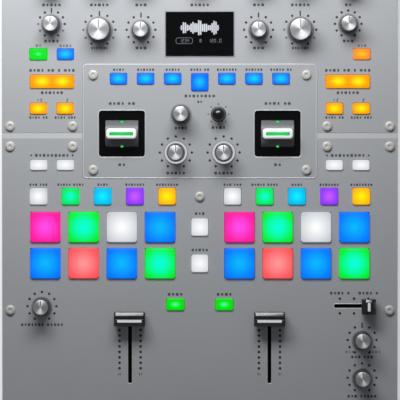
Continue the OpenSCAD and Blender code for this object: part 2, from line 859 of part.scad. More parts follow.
module fader_left() fader([-fader_x, fader_y], 0, cap_w, cap_d);
module fader_right() fader([fader_x, fader_y], 0, cap_w, cap_d);
module crossfader() fader([0, cross_y], 90, cap_w, cap_d);
module cue_slider() fader([cue_x, cue_y], 90, cue_cap_d, cap_d);

// A lock-or-hold paddle: a bar on a drum that rocks on its axle
module paddle(x) {
    color("white")
        translate([x, paddle_y, 0]) {
            rod_x(-drum_w / 2, drum_w / 2, 0, drum_z, drum_r);
            rod_x(-drum_w / 2 - axle_reach, drum_w / 2 + axle_reach, 0, drum_z, axle_r);
            root_z = drum_z + drum_r - 3;
            soft_block([0, 0, root_z], [paddle_w, paddle_d, paddle_top - root_z], 2.2);
        }
}

module paddle_left() paddle(-paddle_x);
module paddle_right() paddle(paddle_x);

// The ring that lets the beat stick tip both ways
module beat_gimbal() {
    color("gray")
        translate([stick[0], stick[1], 0])
            difference() {
                union() {
                    post([0, 0, pivot_z - gimbal_h / 2], gimbal_r, gimbal_h);
                    rod_x(-gimbal_r - 3.5, gimbal_r + 3.5, 0, pivot_z, gimbal_pin_r);
                }
                post([0, 0, pivot_z - 5], gimbal_bore_r, 10);
                rod_y(0, -8, 8, pivot_z, stick_pin_r + shaft_fit);
            }
}

module beat_stick() {
    color("black")
        translate([stick[0], stick[1], 0]) {
            post([0, 0, pivot_z - 3], 2, ball_z - pivot_z);
            rod_y(0, -gimbal_r + 0.2, gimbal_r - 0.2, pivot_z, stick_pin_r);
            translate([0, 0, ball_z])
                sphere(ball_r);
        }
}

// The power rocker, shown switched off
module power_switch() {
    color("black")
        translate([inlet_x, switch_pivot_y, switch_z])
            rotate([-10, 0, 0]) {
                translate([-6, 0, 0])
                    rotate([90, 0, 90])
                        linear_extrude(12)
                            polygon([
                                [-3, -4], [4, -8.6], [7.5, -8.6], [6.4, 0],
                                [7.5, 8.6], [4, 8.6], [-3, 4],
                            ]);
                rod_x(-7.5, 7.5, 0, 0, 1.5);
            }
}

// Lit keys: each has a lip that stops it under the panel
module lit_keys(keys, rise, tint) {
    for (k = keys)
        color(tint) {
            soft_block([k[0], k[1], key_bottom], [k[2], k[3], panel_z + rise - key_bottom], key_corner);
            soft_block([k[0], k[1], lip_z], [k[2] + 2 * lip_w, k[3] + 2 * lip_w, lip_t], key_corner);
        }
}

module input_keys() lit_keys(INPUT_KEYS, key_rise, "limegreen");
module loop_keys() lit_keys(LOOP_KEYS, key_rise, "orange");
module fx_keys() lit_keys(FX_KEYS, key_rise + fx_rise, "dodgerblue");
module parameter_keys() lit_keys(PARAMETER_KEYS, key_rise, "white");
module mode_keys() lit_keys(MODE_KEYS, key_rise, "turquoise");
module pads_left() lit_keys(PAD_KEYS_LEFT, key_rise + 0.6, "deepskyblue");
module pads_right() lit_keys(PAD_KEYS_RIGHT, key_rise + 0.6, "deepskyblue");
module tap_shift_keys() lit_keys(TAP_SHIFT_KEYS, key_rise, "white");
module sync_keys() lit_keys(SYNC_KEYS, key_rise, "limegreen");

base_tray();
upper_faceplate();
lower_faceplate();
fx_plate();
panel_screws();
rear_panel();
rubber_feet();
circuit_boards();
potentiometers();
fader_modules();
power_supply();
power_inlet();
xlr_outputs();
jack_sockets();
rca_jacks();
usb_ports();
headphone_jacks();
display_window();
display_module();
paddle_wells();
mic_level();
mic_tone();
session_in();
session_out();
level_left();
level_right();
filter_left();
filter_right();
high_left();
high_right();
mid_left();
mid_right();
low_left();
low_right();
main_level();
booth_level();
fx_time();
depth_left();
depth_right();
sampler_level();
cue_mix();
cue_level();
fader_left();
fader_right();
crossfader();
cue_slider();
paddle_left();
paddle_right();
beat_gimbal();
beat_stick();
power_switch();
input_keys();
loop_keys();
fx_keys();
parameter_keys();
mode_keys();
pads_left();
pads_right();
tap_shift_keys();
sync_keys();
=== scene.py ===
import json
import math

import bmesh
import bpy
from mathutils import Matrix, Vector

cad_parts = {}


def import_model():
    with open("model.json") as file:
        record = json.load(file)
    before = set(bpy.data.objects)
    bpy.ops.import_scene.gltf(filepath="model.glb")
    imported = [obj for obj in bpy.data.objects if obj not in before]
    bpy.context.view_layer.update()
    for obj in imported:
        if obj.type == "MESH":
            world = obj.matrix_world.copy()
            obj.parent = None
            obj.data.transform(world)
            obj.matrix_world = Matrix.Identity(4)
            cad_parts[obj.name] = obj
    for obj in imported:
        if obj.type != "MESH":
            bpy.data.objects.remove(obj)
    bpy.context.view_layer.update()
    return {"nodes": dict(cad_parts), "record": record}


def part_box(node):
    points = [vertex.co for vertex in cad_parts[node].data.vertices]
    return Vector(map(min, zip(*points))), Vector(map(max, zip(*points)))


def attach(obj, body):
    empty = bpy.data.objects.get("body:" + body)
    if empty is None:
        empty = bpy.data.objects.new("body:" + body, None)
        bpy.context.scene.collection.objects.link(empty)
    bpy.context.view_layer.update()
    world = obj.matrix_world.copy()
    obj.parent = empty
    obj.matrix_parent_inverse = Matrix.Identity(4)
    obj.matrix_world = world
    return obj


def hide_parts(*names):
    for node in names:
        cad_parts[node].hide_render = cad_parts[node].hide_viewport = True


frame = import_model()
nodes = frame["nodes"]
scene = bpy.context.scene
scene.view_settings.view_transform = "Standard"

MM = 0.001  # a millimetre in metres


def node_box(node):
    """A CAD node's lowest and highest corners, in millimetres."""
    lo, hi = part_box(node)
    return lo / MM, hi / MM


def middle(node):
    lo, hi = node_box(node)
    return (lo + hi) / 2


PANEL = node_box("upper_faceplate")[1].z
FX_TOP = node_box("fx_plate")[1].z


# ---------------------------------------------------------------- materials


def lin(r, g, b):
    """A colour from its display values, 0 to 255."""
    out = []
    for v in (r, g, b):
        v /= 255
        out.append(v / 12.92 if v <= 0.04045 else ((v + 0.055) / 1.055) ** 2.4)
    return (*out, 1.0)


class Nodes:
    """A new material's nodes, with short calls to add and link them."""

    def __init__(self, name):
        self.mat = bpy.data.materials.new(name)
        self.mat.use_nodes = True
        self.tree = self.mat.node_tree
        self.shader = self.tree.nodes["Principled BSDF"]

    def add(self, kind, **values):
        node = self.tree.nodes.new("ShaderNode" + kind)
        for key, value in values.items():
            if hasattr(node, key):
                setattr(node, key, value)
            else:
                node.inputs[key].default_value = value
        return node

    def link(self, out, into):
        self.tree.links.new(out, into)

    def coords(self, kind="Object", scale=(1, 1, 1)):
        source = self.add("TexCoord").outputs[kind]
        mapping = self.add("Mapping")
        mapping.inputs["Scale"].default_value = scale
        self.link(source, mapping.inputs["Vector"])
        return mapping.outputs["Vector"]

    def noise(self, vector, scale, detail=3.0, rough=0.5):
        node = self.add("TexNoise", Scale=scale, Detail=detail, Roughness=rough)
        self.link(vector, node.inputs["Vector"])
        return node.outputs["Fac"]

    def spread(self, fac, low, high):
        node = self.add("MapRange")
        node.inputs["To Min"].default_value = low
        node.inputs["To Max"].default_value = high
        self.link(fac, node.inputs["Value"])
        return node.outputs["Result"]

    def ramp(self, fac, stops):
        node = self.add("ValToRGB")
        points = node.color_ramp.elements
        while len(points) < len(stops):
            points.new(0.5)
        for point, (place, colour) in zip(points, stops):
            point.position = place
            point.color = colour
        self.link(fac, node.inputs["Fac"])
        return node.outputs["Color"]

    def bump(self, height, strength, distance):
        node = self.add("Bump", Strength=strength, Distance=distance)
        self.link(height, node.inputs["Height"])
        self.link(node.outputs["Normal"], self.shader.inputs["Normal"])
        return node

    def set(self, **values):
        for key, value in values.items():
            self.shader.inputs[key.replace("_", " ")].default_value = value


def shade(colour, factor):
    """A colour made lighter or darker."""
    return (*(min(1.0, c * factor) for c in colour[:3]), 1.0)


def surface(name, colour, rough, metal=0.0, grain=900.0, depth=0.02, mottle=0.08, stretch=(1, 1, 1), **more):
    """A finish with mottled colour, uneven gloss and a fine bump.

    The grain is in cycles a metre, and the bump's depth is in millimetres.
    """
    n = Nodes(name)
    n.set(Metallic=metal, **more)
    vector = n.coords(scale=stretch)
    wide = n.noise(vector, grain / 14, 4.0)
    fine = n.noise(vector, grain, 2.0)
    stops = [(0.25, shade(colour, 1 - mottle)), (0.75, shade(colour, 1 + mottle))]
    n.link(n.ramp(wide, stops), n.shader.inputs["Base Color"])
    n.link(n.spread(fine, rough * 0.8, min(1.0, rough * 1.2)), n.shader.inputs["Roughness"])
    n.bump(fine, 0.5, depth * MM)
    return n.mat


def blasted(name, colour, rough, metal):
    """Bead-blasted and anodised aluminium: fine sparkle, faint clouding, and a few hairline scuffs."""
    n = Nodes(name)
    n.set(Metallic=metal, IOR=1.5)
    plain = n.coords()
    cloud = n.noise(plain, 9.0, 3.0, 0.6)
    grit = n.noise(plain, 2600.0, 2.0, 0.7)
    along = n.coords(scale=(18, 900, 900))
    scuff = n.noise(along, 1.0, 2.0)
    base = n.ramp(cloud, [(0.3, shade(colour, 0.985)), (0.7, shade(colour, 1.015))])
    fleck = n.ramp(grit, [(0.3, (0.93, 0.93, 0.93, 1)), (0.7, (1, 1, 1, 1))])
    mix = n.add("Mix", data_type="RGBA", blend_type="MULTIPLY")
    mix.inputs["Factor"].default_value = 1.0
    n.link(base, mix.inputs["A"])
    n.link(fleck, mix.inputs["B"])
    n.link(mix.outputs["Result"], n.shader.inputs["Base Color"])
    n.link(n.spread(scuff, rough * 0.92, rough * 1.08), n.shader.inputs["Roughness"])
    n.bump(grit, 0.35, 0.012 * MM)
    return n.mat


def spun(name, colour, rough):
    """Turned metal: concentric grooves about the piece's own upright axis."""
    n = Nodes(name)
    n.set(Metallic=0.87, Anisotropic=0.82, Anisotropic_Rotation=0.25)
    tangent = n.add("Tangent", direction_type="RADIAL", axis="Z")
    n.link(tangent.outputs["Tangent"], n.shader.inputs["Tangent"])
    vector = n.coords()
    rings = n.add("TexWave", wave_type="RINGS", rings_direction="Z", Scale=1400.0, Distortion=0.6)
    n.link(vector, rings.inputs["Vector"])
    dirt = n.noise(vector, 700.0)
    n.link(n.ramp(dirt, [(0.3, shade(colour, 0.9)), (0.7, colour)]), n.shader.inputs["Base Color"])
    n.link(n.spread(rings.outputs["Fac"], rough * 0.8, rough * 1.2), n.shader.inputs["Roughness"])
    n.bump(rings.outputs["Fac"], 0.25, 0.01 * MM)
    return n.mat


WIDE_KEY = 2.1  # how far a key with two lamps is stretched for its glow to stay round


def lit(name, centre, edge, spots=((0.5, 0.5),), reach=0.52, power=1.0, rough=0.42):
    """Translucent silicone lit from below, brightest over its lamps."""
    stretch = WIDE_KEY if len(spots) > 1 else 1.0
    n = Nodes(name)
    n.set(Specular_IOR_Level=0.2)
    place = n.add("TexCoord").outputs["Generated"]
    nearest = None
    for x, y in spots:
        flat = n.add("VectorMath", operation="MULTIPLY_ADD")
        flat.inputs[1].default_value = (stretch, 1.0, 0.0)
        flat.inputs[2].default_value = (-x * stretch, -y, 0.0)
        n.link(place, flat.inputs[0])
        size = n.add("VectorMath", operation="LENGTH")
        n.link(flat.outputs["Vector"], size.inputs[0])
        far = size.outputs["Value"]
        if nearest is not None:
            low = n.add("Math", operation="MINIMUM")
            n.link(nearest, low.inputs[0])
            n.link(far, low.inputs[1])
            far = low.outputs["Value"]
        nearest = far
    cloudy = n.noise(n.coords(), 900.0)
    jitter = n.add("Math", operation="MULTIPLY_ADD")
    jitter.inputs[1].default_value = 0.05
    n.link(cloudy, jitter.inputs[0])
    n.link(nearest, jitter.inputs[2])
    glow = n.ramp(jitter.outputs["Value"], [(0.04, centre), (reach, edge), (0.72, shade(edge, 0.82))])
    n.link(glow, n.shader.inputs["Emission Color"])
    n.set(Emission_Strength=power)
    body = n.ramp(cloudy, [(0.3, shade(edge, 0.06)), (0.7, shade(edge, 0.09))])
    n.link(body, n.shader.inputs["Base Color"])
    n.link(n.spread(cloudy, rough * 0.85, rough * 1.15), n.shader.inputs["Roughness"])
    n.bump(cloudy, 0.4, 0.015 * MM)
    return n.mat


# A surface's numbers are its roughness, metal, grain, bump depth and mottle, and a blasted one's the first two.
M = {
    "panel": blasted("panel_aluminium", (0.445, 0.46, 0.48, 1), 0.5, 0.35),
    "fx_panel": blasted("fx_aluminium", (0.445, 0.463, 0.483, 1), 0.48, 0.35),
    "case": surface("case_powder_coat", lin(52, 54, 58), 0.55, 0.0, 1500, 0.05),
    # The edge beads' light grey is partly bare aluminium and partly a painted highlight, lighter than the
    # panel.
    "rim": surface("edge_painted_highlight", lin(214, 216, 219), 0.5, 0.4, 1200, 0.004, 0.03),
    # The seam bevel is lighter than the panel: a painted highlight on top of the light its tilt catches.
    "bevel_highlight": blasted("bevel_aluminium_painted_highlight", (0.55, 0.565, 0.585, 1), 0.48, 0.35),
    "screw": surface("nickel_screw", lin(194, 193, 187), 0.5, 0.25, 900, 0.01, 0.05),
    "feet": surface("foot_rubber", lin(28, 28, 30), 0.75, 0.0, 700, 0.06, 0.15),
    "board": surface("board_green", lin(18, 74, 44), 0.4, 0.0, 300, 0.02, 0.2),
    "control": surface("control_zinc", lin(168, 170, 172), 0.35, 1.0, 1200, 0.01, 0.08),
    "parts": surface("supply_mixed", lin(70, 72, 66), 0.5, 0.2, 400, 0.03, 0.25),
    "socket": surface("socket_nylon", lin(22, 22, 24), 0.42, 0.0, 1100, 0.02, 0.1),
    "gold": surface("gold_plate", lin(222, 176, 84), 0.22, 1.0, 1300, 0.004, 0.05),
    "steel": surface("socket_steel", lin(196, 198, 200), 0.28, 1.0, 1000, 0.008, 0.06),
    "glass": surface("display_glass", lin(7, 8, 10), 0.06, 0.0, 60, 0.0005, 0.2, Specular_IOR_Level=0.3),
    "bezel": surface("well_gloss", lin(8, 8, 9), 0.16, 0.0, 500, 0.003, 0.2, Specular_IOR_Level=0.3),
    "drum": surface("drum_plastic", lin(104, 105, 109), 0.36, 0.0, 1400, 0.02, 0.05),
    "paddle": surface("paddle_ivory", lin(246, 246, 247), 0.33, 0.0, 900, 0.01, 0.02),
    "knob": surface("knob_rubber", lin(24, 24, 27), 0.45, 0.0, 1600, 0.03, 0.15),
    "cap": spun("knob_cap_metal", lin(222, 223, 225), 0.57),
    "knob_side": surface("knob_side", lin(70, 71, 74), 0.36, 0.8, 1600, 0.02, 0.08),
    "skirt": surface("knob_skirt", lin(150, 152, 156), 0.45, 0.5, 1500, 0.01, 0.04),
    "pointer": surface("pointer_ink", lin(70, 70, 74), 0.5, 0.0, 2000, 0.01, 0.1),
    "fader": surface("fader_black", lin(80, 80, 82), 0.3, 0.9, 1500, 0.01, 0.08),
    "line": surface("fader_line", lin(240, 240, 240), 0.45, 0.0, 1500, 0.01, 0.03),
    "ink": surface("panel_ink", lin(38, 39, 44), 0.55, 0.0, 2200, 0.01, 0.12),
    "label_ink": surface("label_ink", lin(66, 68, 74), 0.6, 0.0, 2200, 0.01, 0.15),
    "soft_ink": surface("worn_ink", lin(104, 107, 114), 0.6, 0.0, 2200, 0.01, 0.2),
    "gimbal": surface("gimbal_steel", lin(150, 151, 155), 0.3, 1.0, 1000, 0.01, 0.08),
    "ball": surface("ball_gloss", lin(14, 14, 15), 0.3, 0.0, 400, 0.002, 0.2, Coat_Weight=0.5),
    "rocker": surface("rocker_plastic", lin(20, 20, 22), 0.3, 0.0, 900, 0.01, 0.12),
    "brush": surface("dust_brush", lin(12, 12, 13), 0.95, 0.0, 1800, 0.2, 0.4, (6, 1, 1)),
    "white_print": surface("white_print", lin(205, 207, 210), 0.6, 0.0, 2200, 0.01, 0.06),
    "white_nylon": surface("white_insert", lin(232, 232, 228), 0.4, 0.0, 900, 0.01, 0.04),
    "red_nylon": surface("red_insert", lin(178, 26, 30), 0.4, 0.0, 900, 0.01, 0.08),
    "rear": surface("rear_powder_coat", lin(30, 31, 34), 0.5, 0.0, 1500, 0.05, 0.08),
    "green_line": lit("paddle_green", lin(35, 232, 98), lin(30, 205, 90), reach=0.5, power=0.85),
    "green_lamp": lit("lamp_green", lin(120, 240, 140), lin(18, 130, 40), reach=0.4, power=1.0),
    "ring_light": lit("ring_light", lin(214, 218, 220), lin(206, 210, 212), reach=0.5, power=0.9),
    "screen": lit("screen_light", lin(232, 236, 240), lin(214, 220, 226), reach=0.5, power=0.85),
    "screen_dim": lit("screen_dim", lin(150, 156, 162), lin(120, 126, 134), reach=0.5, power=0.7),
}

# Each look is the colour over the lamp, the colour at the edge, and how far the hot spot reaches.
KEY_COLOURS = {
    "sky": ((0, 214, 255), (12, 120, 255), 0.5),
    "blue": ((0, 200, 255), (0, 112, 255), 0.46),
    "azure": ((0, 184, 255), (0, 118, 255), 0.56),
    "magenta": ((255, 76, 240), (255, 28, 158), 0.52),
    "mint": ((0, 255, 226), (0, 238, 52), 0.55),
    "green": ((96, 255, 176), (0, 232, 34), 0.2),
    "salmon": ((255, 152, 154), (255, 86, 92), 0.55),
    "white": ((255, 255, 255), (198, 202, 208), 0.6),
    "dull_white": ((250, 250, 252), (214, 216, 222), 0.55),
    "amber": ((255, 246, 0), (255, 166, 0), 0.48),
    "amber_wide": ((255, 250, 0), (255, 162, 0), 0.46),
    "cyan": ((0, 240, 255), (0, 190, 240), 0.46),
    "mode_green": ((0, 250, 214), (0, 234, 96), 0.46),
    "purple": ((206, 88, 236), (146, 60, 255), 0.46),
    "gold": ((255, 242, 0), (255, 174, 10), 0.58),
    "orange": ((255, 200, 0), (255, 144, 46), 0.44),
    "sync": ((70, 255, 140), (0, 224, 14), 0.34),
}
TWO_LAMPS = ((0.28, 0.5), (0.74, 0.5))
for key, (centre, edge, reach) in KEY_COLOURS.items():
    spots = TWO_LAMPS if key == "amber_wide" else ((0.5, 0.5),)
    M["key_" + key] = lit("key_" + key, lin(*centre), lin(*edge), spots, reach)


# ---------------------------------------------------------------- mesh tools
# A skin is a list of rings, each a list of points in millimetres. A ring of one point is a pole.


def circle(r, z, n=48, at=(0, 0)):
    step = 2 * math.pi / n
    return [(at[0] + r * math.cos(i * step), at[1] + r * math.sin(i * step), z) for i in range(n)]


def oblong(w, d, r, z, n=5, at=(0, 0)):
    """A level rectangle with rounded corners."""
    out = []
    for quarter, (sx, sy) in enumerate(((1, 1), (-1, 1), (-1, -1), (1, -1))):
        for i in range(n + 1):
            a = math.radians(90 * quarter + 90 * i / n)
            x = sx * (w / 2 - r) + r * math.cos(a)
            y = sy * (d / 2 - r) + r * math.sin(a)
            out.append((at[0] + x, at[1] + y, z))
    return out


def lathe(profile, n=48, at=(0, 0)):
    """Rings from a profile of radii and heights. A radius of 0 makes a pole."""
    return [[(*at, z)] if r == 0 else circle(r, z, n, at) for r, z in profile]


def pillow(w, d, r, z0, z1, round_r=0.5, dome=0.12, at=(0, 0)):
    """An oblong key with a rounded top edge and a slightly domed top."""
    rings = [oblong(w, d, r, z0, at=at), oblong(w, d, r, z1 - round_r, at=at)]
    for i in range(1, 4):
        a = math.radians(30 * i)
        inset = round_r * (1 - math.cos(a))
        z = z1 - round_r + round_r * math.sin(a)
        rings.append(oblong(w - 2 * inset, d - 2 * inset, max(0.2, r - inset * 0.6), z, at=at))
    for i in (1, 2):
        shrink = 1 - 0.3 * i
        z = z1 + dome * (1 - shrink**2)
        rings.append(oblong(w * shrink, d * shrink, r * shrink, z, at=at))
    rings.append([(*at, z1 + dome)])
    return rings


def plate(outline, z0, z1):
    """A flat piece between two heights, from the x and y of its outline."""
    return [[(x, y, z0) for x, y, _ in outline], [(x, y, z1) for x, y, _ in outline]]


def bead(w, d, r, z, thick, at=(0, 0), n=10, corner=8):
    """A round bead along the edge of a level oblong, as rings around the path."""
    path = oblong(w, d, r, z, corner, at)
    rings = []
    for i, (x, y, _) in enumerate(path):
        ax, ay, _ = path[i - 1]
        bx, by, _ = path[(i + 1) % len(path)]
        out = Vector((by - ay, ax - bx, 0)).normalized()
        rings.append([
            (x + out.x * thick * math.cos(t), y + out.y * thick * math.cos(t), z + thick * math.sin(t))
            for t in (2 * math.pi * k / n for k in range(n))
        ])
    return rings


def turned(skin, matrix):
    """A skin put through a matrix."""
    return [[tuple(matrix @ Vector(p)) for p in ring] for ring in skin]


def mesh_of(name, skins, loops=(), sharp=32):
    """A mesh from skins, which get end faces, and loops, whose last ring joins the first."""
    bm = bmesh.new()
    for closed, group in ((False, skins), (True, loops)):
        for skin in group:
            rings = [[bm.verts.new(Vector(p) * MM) for p in ring] for ring in skin]
            pairs = list(zip(rings, rings[1:]))
            if closed:
                pairs.append((rings[-1], rings[0]))
            for a, b in pairs:
                n = max(len(a), len(b))
                for i in range(n):
                    j = (i + 1) % n
                    face = [a[i % len(a)], a[j % len(a)], b[j % len(b)], b[i % len(b)]]
                    bm.faces.new(list(dict.fromkeys(face)))
            if not closed:
                for ring in (rings[0], rings[-1]):
                    if len(ring) > 2:
                        bm.faces.new(ring)
    bmesh.ops.recalc_face_normals(bm, faces=bm.faces)
    mesh = bpy.data.meshes.new(name)
    bm.to_mesh(mesh)
    bm.free()
    mesh.shade_smooth()
    mesh.set_sharp_from_angle(angle=math.radians(sharp))
    return mesh


def piece(name, body, mat, skins, at=(0, 0, 0), loops=(), stands_for=(), bevel=0.0, sharp=32):
    """A new object on a CAD body, with its origin at the given place in millimetres."""
    obj = bpy.data.objects.new(name, mesh_of(name, skins, loops, sharp))
    obj.location = Vector(at) * MM
    obj.data.materials.append(M[mat])
    scene.collection.objects.link(obj)
    if bevel:
        mod = obj.modifiers.new("edge", "BEVEL")
        mod.width = bevel * MM
        mod.segments = 2
        mod.limit_method = "ANGLE"
        mod.angle_limit = math.radians(28)
    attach(obj, body)
    if stands_for:
        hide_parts(*stands_for)
    return obj


def dress(node, mat):
    """A carried-over CAD node's finish, in its own slots."""
    for place in nodes[node].material_slots:
        place.material = M[mat]


# ---------------------------------------------------------------- carried-over CAD nodes

for node, mat in {
    "base_tray": "case",
    "upper_faceplate": "panel",
    "lower_faceplate": "panel",
    "fx_plate": "fx_panel",
    "rear_panel": "rear",
    "circuit_boards": "board",
    "potentiometers": "control",
    "fader_modules": "socket",
    "power_supply": "parts",
    "power_inlet": "socket",
    "xlr_outputs": "socket",
    "jack_sockets": "socket",
    "rca_jacks": "gold",
    "usb_ports": "steel",
    "headphone_jacks": "socket",
    "display_window": "glass",
    "display_module": "board",
    "paddle_wells": "bezel",
    "beat_gimbal": "gimbal",
    "power_switch": "rocker",
}.items():
    dress(node, mat)


# ---------------------------------------------------------------- knobs

KNOB_H = 15.4
KNOBS = [
    "mic_level", "mic_tone", "session_in", "session_out", "level_left", "level_right",
    "filter_left", "filter_right", "high_left", "high_right", "mid_left", "mid_right",
    "low_left", "low_right", "main_level", "booth_level", "fx_time", "depth_left",
    "depth_right", "sampler_level", "cue_mix", "cue_level",
]


def fluted(r, z, flutes=30, deep=0.14):
    """A ring whose radius dips at each flute."""
    n = flutes * 6
    out = []
    for i in range(n):
        a = 2 * math.pi * i / n
        dip = deep * max(0.0, math.cos(flutes * a)) ** 2
        out.append(((r - dip) * math.cos(a), (r - dip) * math.sin(a), z))
    return out


def knob(node):
    """A spun cap with a pointer on a tapered, fluted body. Only the depth knobs have no skirt."""
    lo, hi = node_box(node)
    r = (hi.x - lo.x) / 2
    at = ((lo.x + hi.x) / 2, (lo.y + hi.y) / 2, hi.z - KNOB_H)
    top = KNOB_H
    foot = r - 0.95
    head = r - 2.0
    cap_r = r - 2.2
    if not node.startswith("depth"):
        inner, outer = foot - 0.6, r - 0.02
        outline = [(inner, 0), (r - 0.15, 0), (outer, 0.15), (outer, 0.5), (r - 0.25, 0.72), (inner, 0.76)]
        skirt = lathe(outline, 72)
        piece(f"{node}_skirt", node, "skirt", [], at, loops=[skirt])
    body = [
        fluted(foot - 0.8, 0.0, deep=0),
        fluted(foot - 0.2, 0.0, deep=0),
        fluted(foot, 0.5, deep=0),
        fluted(foot - 0.05, 1.4),
        fluted(head + 0.12, top - 1.1),
        fluted(head, top - 0.8, deep=0.04),
        fluted(cap_r + 0.08, top - 0.5, deep=0),
        fluted(cap_r + 0.02, top - 0.75, deep=0),
        fluted(cap_r + 0.02, top - 1.3, deep=0),
    ]
    shaft = lathe([(2.9, -6.0), (2.9, 0.6)], 24)
    piece(f"{node}_body", node, "knob_side", [body, shaft], at, stands_for=[node])
    cap = lathe([
        (cap_r, top - 1.3), (cap_r, top - 0.4), (cap_r - 0.12, top - 0.26), (cap_r - 0.5, top - 0.14),
        (cap_r * 0.6, top - 0.13), (cap_r * 0.3, top - 0.12), (0, top - 0.12),
    ], 72)
    piece(f"{node}_cap", node, "cap", [cap], at)
    if node != "fx_time":
        line = oblong(0.6, cap_r * 0.86, 0.2, 0, 2, (0, cap_r * 0.54))
        piece(f"{node}_pointer", node, "pointer", [plate(line, top - 0.3, top - 0.05)], at)


for node in KNOBS:
    knob(node)


# ---------------------------------------------------------------- lit keys

ROW = 3.0  # keys whose middles are nearer than this are in one row


def islands(node):
    """The boxes of a node's separate solids, in millimetres, back row first and left to right."""
    bm = bmesh.new()
    bm.from_mesh(nodes[node].data)
    bmesh.ops.remove_doubles(bm, verts=bm.verts, dist=1e-6)
    seen = set()
    out = []
    for start in bm.verts:
        if start in seen:
            continue
        seen.add(start)
        group = [start]
        for v in group:
            for e in v.link_edges:
                w = e.other_vert(v)
                if w not in seen:
                    seen.add(w)
                    group.append(w)
        lo = Vector([min(v.co[k] for v in group) for k in range(3)]) / MM
        hi = Vector([max(v.co[k] for v in group) for k in range(3)]) / MM
        out.append((lo, hi))
    bm.free()
    return sorted(out, key=lambda b: (-round((b[0].y + b[1].y) / (2 * ROW)), b[0].x))


KEY_LIP = 1.2  # the hidden rim round each CAD key
KEY_DEEP = 7.0
MODE = ["white", "mode_green", "cyan", "purple", "gold"]
PADS = ["magenta", "mint", "white", "azure", "azure", "salmon", "azure", "mint"]
KEY_LOOKS = {
    "input_keys": ["dull_white"] * 6 + ["green", "sky", "orange"],
    "loop_keys": ["amber_wide"] * 2 + ["amber"] * 4,
    "fx_keys": ["sky"] * 6 + ["blue"],
    "parameter_keys": ["dull_white"] * 4,
    "mode_keys": MODE * 2,
    "pads_left": PADS,
    "pads_right": PADS,
    "tap_shift_keys": ["dull_white"] * 2,
    "sync_keys": ["sync"] * 2,
}


def keys(node, looks):
    """A lit silicone skin in place of each key of a node."""
    boxes = islands(node)
    if len(boxes) != len(looks):
        raise SystemExit(f"{node} has {len(boxes)} keys, not {len(looks)}")
    corner, gap, round_r = (1.5, 0.25, 0.7) if node.startswith("pads") else (1.2, 0.15, 0.5)
    for i, ((lo, hi), look) in enumerate(zip(boxes, looks)):
        at = ((lo.x + hi.x) / 2, (lo.y + hi.y) / 2, lo.z)
        w, d, h = hi - lo
        skin = pillow(w - 2 * KEY_LIP, d - 2 * KEY_LIP, corner, h - KEY_DEEP, h - gap, round_r)
        stands = [node] if i == 0 else []
        piece(f"{node}_{i + 1}", node, "key_" + look, [skin], at, stands_for=stands)


for node, looks in KEY_LOOKS.items():
    keys(node, looks)


# ---------------------------------------------------------------- screws

BACKWARD = Matrix.Rotation(math.radians(-90), 4, "X")  # turns +Z to +Y
TOP_HEAD = 2.0
BACK_HEAD = 1.8


def screw_head(r, h, n=48):
    """A pan head with a cross recess, its underside at z = 0."""
    arm_w = r * 0.15
    arm_end = 0.4
    deep = 0.5

    def top(x, y):
        q = math.hypot(x, y) / r
        z = h - (h - 1.5) * q**6
        arm = max(0.0, 1 - (min(abs(x), abs(y)) / arm_w) ** 2)
        reach = max(0.0, min(1.0, (arm_end - q) * 8))
        return z - deep * min(1.0, arm * 2) * reach

    rings = [circle(r * 0.55, 0, n), circle(r, 0, n), circle(r, 0.75, n)]
    for q in (0.97, 0.92, 0.85, 0.76, 0.66, 0.6, 0.54, 0.48, 0.4, 0.32, 0.24, 0.16, 0.08):
        rings.append([(x, y, top(x, y)) for x, y, _ in circle(r * q, 0, n)])
    rings.append([(0, 0, h - 0.6)])
    return rings


def screws():
    """Every head, each on the panel turned to an angle of its own."""
    skins = []
    for lo, hi in islands("panel_screws"):
        c = (lo + hi) / 2
        size = hi - lo
        if size.z > size.y:
            head = screw_head(size.x / 2, TOP_HEAD)
            turn = Matrix.Rotation(math.radians(c.x * 7 + c.y * 3), 4, "Z")
            place = Matrix.Translation((c.x, c.y, hi.z - TOP_HEAD)) @ turn
        else:
            head = screw_head(size.x / 2, BACK_HEAD, 32)
            place = Matrix.Translation((c.x, hi.y - BACK_HEAD, c.z)) @ BACKWARD
        skins.append(turned(head, place))
    piece("screw_heads", "chassis", "screw", skins, stands_for=["panel_screws"], sharp=25)


screws()


# ---------------------------------------------------------------- paddles

DRUM_R = 12.0
DRUM_HALF = 12.55
RIB_STEP = 1.2
AXLE_HALF = 15.4


